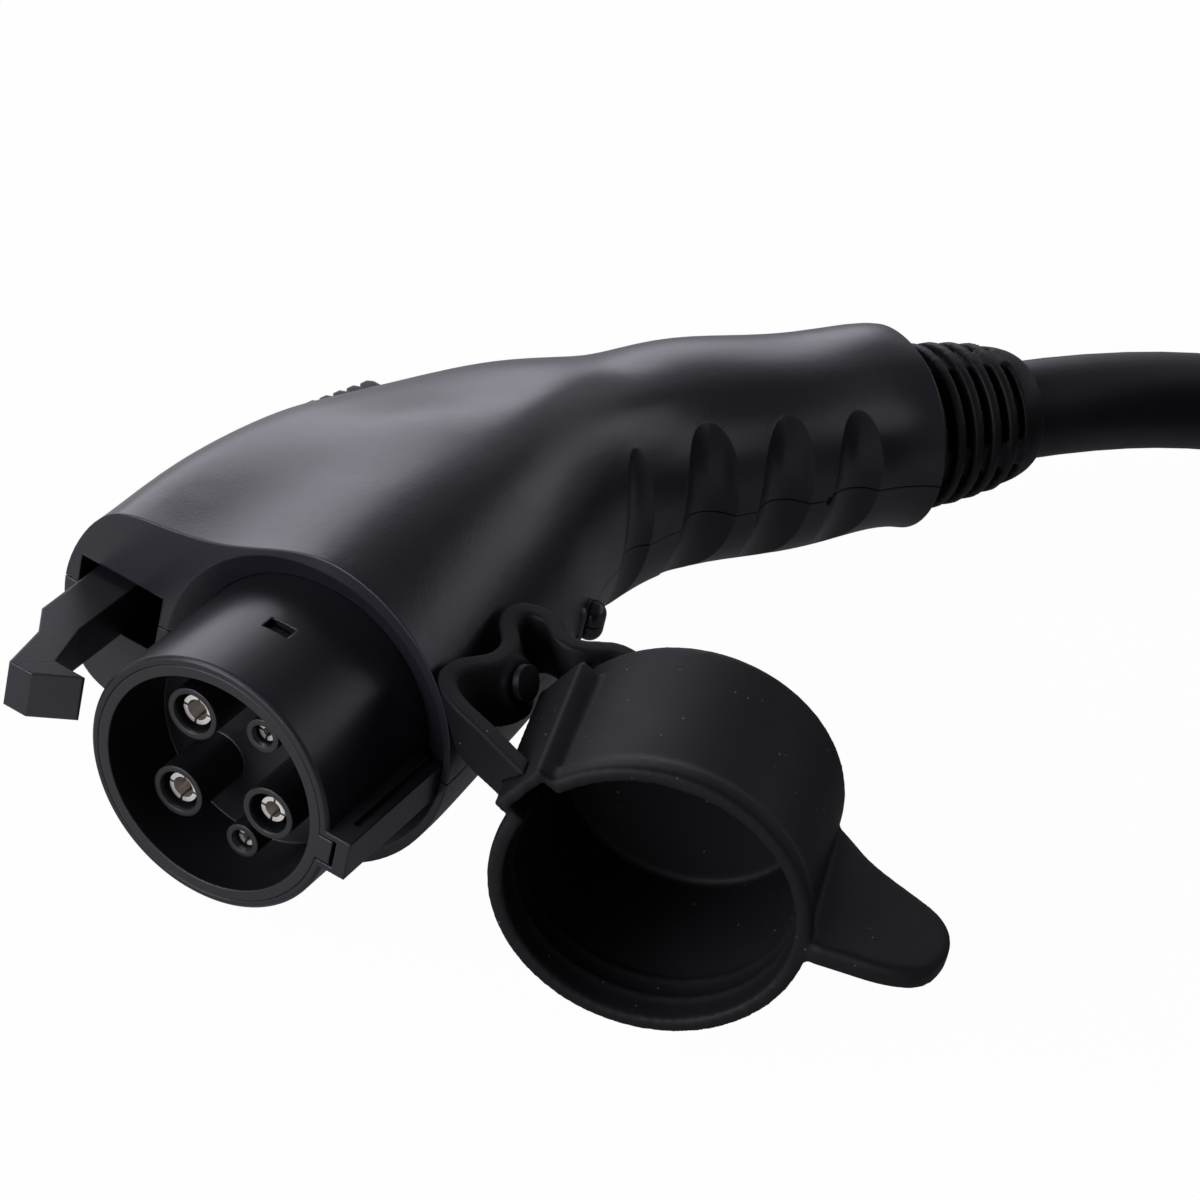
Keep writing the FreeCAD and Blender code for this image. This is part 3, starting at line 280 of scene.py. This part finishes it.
# Thermoplastic rubber, extruded: dull and slightly grey, with a faint grain from its die.
extruded_rubber = moulded("extruded_rubber", ("#121215", "#18181b"), roughness=0.5, uneven=0.06,
                          grain=0.0008, height=0.00002, refraction=1.45)
curve.materials.append(extruded_rubber)
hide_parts("cable", "cable_coil")
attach(charging_cable, "connector")
dress("cable_inner_end", extruded_rubber)

# Cores
# Five copper cores in coloured insulation. At the far end each is stripped and crimped into
# a plain ferrule. In the handle they run from the cable's end to their contacts.

core_colours = {"line": ("#4a2412", "#5a2d18"), "neutral": ("#12357c", "#1a418c"),
                "ground": ("#3c7a22", "#4b8a2a"), "pilot": ("#c0601a", "#cc6c22"),
                "proximity": ("#c9c9c4", "#d6d6d2")}
for core, colours in core_colours.items():
    # PVC, extruded: an even colour with a slight shine.
    insulation = moulded(core + "_extruded_pvc", colours, roughness=0.38, uneven=0.05,
                         grain=0.001, height=0.00001, refraction=1.53)
    dress(core + "_conductor", insulation)
    dress(core + "_lead", insulation)

# Housing
# Two mirrored shells of black ABS, injection moulded and closed by five screws. They hold
# everything else between them.

# ABS from a spark-eroded mould: its fine grain breaks the light into a broad, soft sheen.
spark_grained_abs = moulded("spark_grained_abs", ("#1a1a1f", "#1f1f25"), roughness=0.33,
                            uneven=0.03, grain=0.0006, height=0.00002, refraction=1.54)
dress("housing_upper", spark_grained_abs)
dress("housing_lower", spark_grained_abs)

# Barrel
# A round sleeve of PBT with its key along one side, injection moulded in one piece. Its
# flange sits behind the housing's lip.

# PBT from a smoother mould: black, with a slightly narrower and quieter sheen.
smooth_pbt = moulded("smooth_moulded_pbt", ("#16161a", "#1b1b20"), roughness=0.34, uneven=0.03,
                     grain=0.001, height=0.00001, refraction=1.44)
dress("barrel_sleeve", smooth_pbt)

# Contact carrier
# The cup and collars that hold the contacts, and the plate behind them that keeps the
# contacts in. Both are injection moulded.

# Glass-filled nylon, moulded: the darkest plastic here, with an uneven, dry surface.
glass_filled_nylon = moulded("glass_filled_nylon", ("#0e0e11", "#131316"), roughness=0.4,
                             uneven=0.06, grain=0.0007, height=0.00002, refraction=1.53)
dress("contact_carrier", glass_filled_nylon)
dress("contact_retainer", glass_filled_nylon)

# Contacts
# Five sockets turned from copper, slotted so that they spring on their pins, and silver
# plated. Each is crimped on its core behind the carrier.

# Silver plate on turned copper: a bright, satin metal with faint rings from the lathe,
# 0.6 mm apart so that they show.
ring_spacing = 0.0006
silver_plate, tree = new_material("silver_plated_copper")
place = add(tree, "TexCoord", {})
rings = add(tree, "TexWave", {"Vector": place.outputs["Object"], "Scale": 1 / ring_spacing,
                              "Distortion": 0.6}, bands_direction="Y")
relief = add(tree, "Bump", {"Height": rings.outputs["Fac"], "Distance": 0.00001})
plate = add(tree, "BsdfPrincipled", {"Base Color": linear("#fbf6ee"), "Metallic": 1.0,
                                     "Roughness": 0.36, "Normal": relief.outputs[0]})
add(tree, "OutputMaterial", {"Surface": plate.outputs[0]})
for core in core_colours:
    dress(core + "_contact", silver_plate)

# Latch
# One lever of tough nylon: the hook in front, the ridged thumb pad behind. It rocks on a
# steel pin, and a small wire spring under the pad pushes it back.

# Nylon, injection moulded: black, a little greyer and duller than the barrel.
moulded_nylon = moulded("moulded_nylon", ("#19191d", "#1f1f24"), roughness=0.36, uneven=0.04,
                        grain=0.0006, height=0.00002, refraction=1.53)
dress("latch_lever", moulded_nylon)

# Steel, ground: grey and fairly bright, with fine scratches drawn 0.4 mm wide.
scratch_width = 0.0004
ground_steel, tree = new_material("ground_steel")
place = add(tree, "TexCoord", {})
scratches = add(tree, "TexNoise", {"Vector": place.outputs["Object"], "Scale": 1 / scratch_width,
                                   "Detail": 3.0})
relief = add(tree, "Bump", {"Height": scratches.outputs["Fac"], "Distance": 0.00001})
steel = add(tree, "BsdfPrincipled", {"Base Color": linear("#b9babd"), "Metallic": 1.0,
                                     "Roughness": 0.3, "Normal": relief.outputs[0]})
add(tree, "OutputMaterial", {"Surface": steel.outputs[0]})
for node in ("latch_pivot_pin", "housing_screws", "cable_crimp_ring"):
    dress(node, ground_steel)

# The wire spring stands on its seat in the housing: a copy of its CAD solid in ground steel.
thumb_spring = bpy.data.objects.new("thumb_spring", cad["latch_spring"].data.copy())
bpy.context.collection.objects.link(thumb_spring)
thumb_spring.data.materials.clear()
thumb_spring.data.materials.append(ground_steel)
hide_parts("latch_spring")
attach(thumb_spring, "connector")
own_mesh(thumb_spring)

# Proximity circuit
# A small board of glass and epoxy, and on it the switch that the lever works. It tells the
# vehicle that the latch is pressed.

# Solder lacquer, printed on the board: green and fairly shiny.
green_lacquer = moulded("green_solder_lacquer", ("#12502a", "#176034"), roughness=0.3,
                        uneven=0.05, grain=0.001, height=0.00001, refraction=1.55)
dress("proximity_board", green_lacquer)
dress("proximity_switch", moulded_nylon)

# Strain relief
# A ribbed boot of black rubber, moulded with slots between its rings so that it bends with
# the cable. The housing holds it by its flange.


def soft_moulding(name, mesh, cell, passes, node):
    """A rubber piece that stands for its CAD solid, with edges rounded as rubber rounds them."""
    form = bpy.data.objects.new(name + "_form", mesh)
    bpy.context.collection.objects.link(form)
    skin = form.modifiers.new("skin", "REMESH")
    skin.mode = "VOXEL"
    skin.voxel_size = cell
    skin.use_smooth_shade = True
    rounding = form.modifiers.new("rounding", "SMOOTH")
    rounding.factor = 0.5
    rounding.iterations = passes
    seen_form = form.evaluated_get(bpy.context.evaluated_depsgraph_get())
    piece = bpy.data.objects.new(name, bpy.data.meshes.new_from_object(seen_form))
    bpy.context.collection.objects.link(piece)
    bpy.data.objects.remove(form)
    piece.data.materials.clear()
    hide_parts(node)
    return piece


# Rubber from a blasted mould: dull and nearly black, with a soft grain.
moulded_rubber = moulded("moulded_rubber", ("#0b0b0d", "#111113"), roughness=0.56, uneven=0.05,
                         grain=0.0008, height=0.00002, refraction=1.38)
ribbed_boot = soft_moulding("ribbed_boot", cad["cable_boot"].data.copy(), cell=0.0004, passes=3,
                            node="cable_boot")
ribbed_boot.data.materials.append(moulded_rubber)
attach(ribbed_boot, "connector")

# Cap and strap
# One soft rubber moulding: the cap with its sealing ridges and pull tongue, and the band
# that ties it to a button on the housing.


def dusty(material, spacing, size):
    """Adds pale specks of dust of about that size, a few spacings apart."""
    bare_share = 0.4
    tree = material.node_tree
    place = add(tree, "TexCoord", {})
    cells = add(tree, "TexVoronoi", {"Vector": place.outputs["Object"], "Scale": 1 / spacing,
                                     "Randomness": 1.0})
    near = add(tree, "Math", {0: cells.outputs["Distance"], 1: size / 2 / spacing},
               operation="LESS_THAN")
    number = add(tree, "SeparateColor", {"Color": cells.outputs["Color"]})
    kept = add(tree, "Math", {0: number.outputs[0], 1: bare_share}, operation="GREATER_THAN")
    faint = add(tree, "Math", {0: near.outputs[0], 1: kept.outputs[0]}, operation="MULTIPLY")
    amount = add(tree, "Math", {0: faint.outputs[0], 1: number.outputs[1]}, operation="MULTIPLY")
    plastic = next(node for node in tree.nodes if node.bl_idname == "ShaderNodeBsdfPrincipled")
    clean = plastic.inputs["Base Color"].links[0].from_socket
    shade = add(tree, "Mix", {0: amount.outputs[0], 6: clean, 7: linear("#6c6c70")},
                data_type="RGBA")
    tree.links.new(shade.outputs[2], plastic.inputs["Base Color"])


# Soft rubber from a blasted mould: dull black, and fine pale dust clings to it.
dusty_rubber = moulded("dusty_moulded_rubber", ("#0c0c0e", "#121214"), roughness=0.62,
                       uneven=0.05, grain=0.0008, height=0.00002, refraction=1.32)
dusty(dusty_rubber, spacing=0.0024, size=0.00034)

# The pull tongue lies flat beside the cup. Its outline starts at the cup's wall, by the
# mouth, and runs round the tip and back in a hollow curve. Each point has its reach from
# the wall and its place along the cup.
cup_place = Matrix.Translation((0.0668, 0.0199, 0.0042)) @ Matrix.Rotation(math.radians(17.6), 4, "Z")
cup_outside = 0.0245
tongue_outline = ((-0.002, 0.0006), (0.0060, 0.0006), (0.0125, 0.0004), (0.0180, 0.0020),
                  (0.0200, 0.0060), (0.0204, 0.0110), (0.0182, 0.0152), (0.0138, 0.0178),
                  (0.0088, 0.0205), (0.0048, 0.0232), (0.0020, 0.0262), (-0.002, 0.0300))
flat_thick = 0.0022
edge_radius = 0.0009
curve = bpy.data.curves.new("pull_tongue", "CURVE")
curve.dimensions = "2D"
curve.fill_mode = "BOTH"
curve.extrude = flat_thick / 2
curve.bevel_depth = edge_radius
curve.bevel_resolution = 3
spline = curve.splines.new("NURBS")
spline.points.add(len(tongue_outline) - 1)
for point, (reach, along) in zip(spline.points, tongue_outline):
    point.co = (cup_outside + reach, along, 0, 1)
spline.order_u = 3
spline.use_cyclic_u = True
spline.resolution_u = 6
tongue = bpy.data.objects.new("pull_tongue", curve)
bpy.context.collection.objects.link(tongue)
seen_tongue = tongue.evaluated_get(bpy.context.evaluated_depsgraph_get())
tongue_mesh = bpy.data.meshes.new_from_object(seen_tongue)
tongue_mesh.transform(cup_place)
bpy.data.objects.remove(tongue)

# The solid cap's own tongue is drawn in until it hides inside this one.
tongue_root = cup_outside + 0.002
drawn_share = 0.2
cap_form = bmesh.new()
cap_form.from_mesh(cad["protective_cap"].data)
for vertex in cap_form.verts:
    place = cup_place.inverted() @ vertex.co
    if place.x > tongue_root:
        place.x = tongue_root + (place.x - tongue_root) * drawn_share
        vertex.co = cup_place @ place
cap_form.from_mesh(tongue_mesh)
cap_mesh = bpy.data.meshes.new("rubber_cap_form")
cap_form.to_mesh(cap_mesh)
cap_form.free()
rubber_cap = soft_moulding("rubber_cap", cap_mesh, cell=0.00055, passes=4,
                           node="protective_cap")
rubber_cap.data.materials.append(dusty_rubber)
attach(rubber_cap, "cap")

rubber_strap = soft_moulding("rubber_strap", cad["cap_strap"].data.copy(), cell=0.00032,
                             passes=12, node="cap_strap")
rubber_strap.data.materials.append(dusty_rubber)
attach(rubber_strap, "cap")
dress("strap_anchor", moulded_rubber)
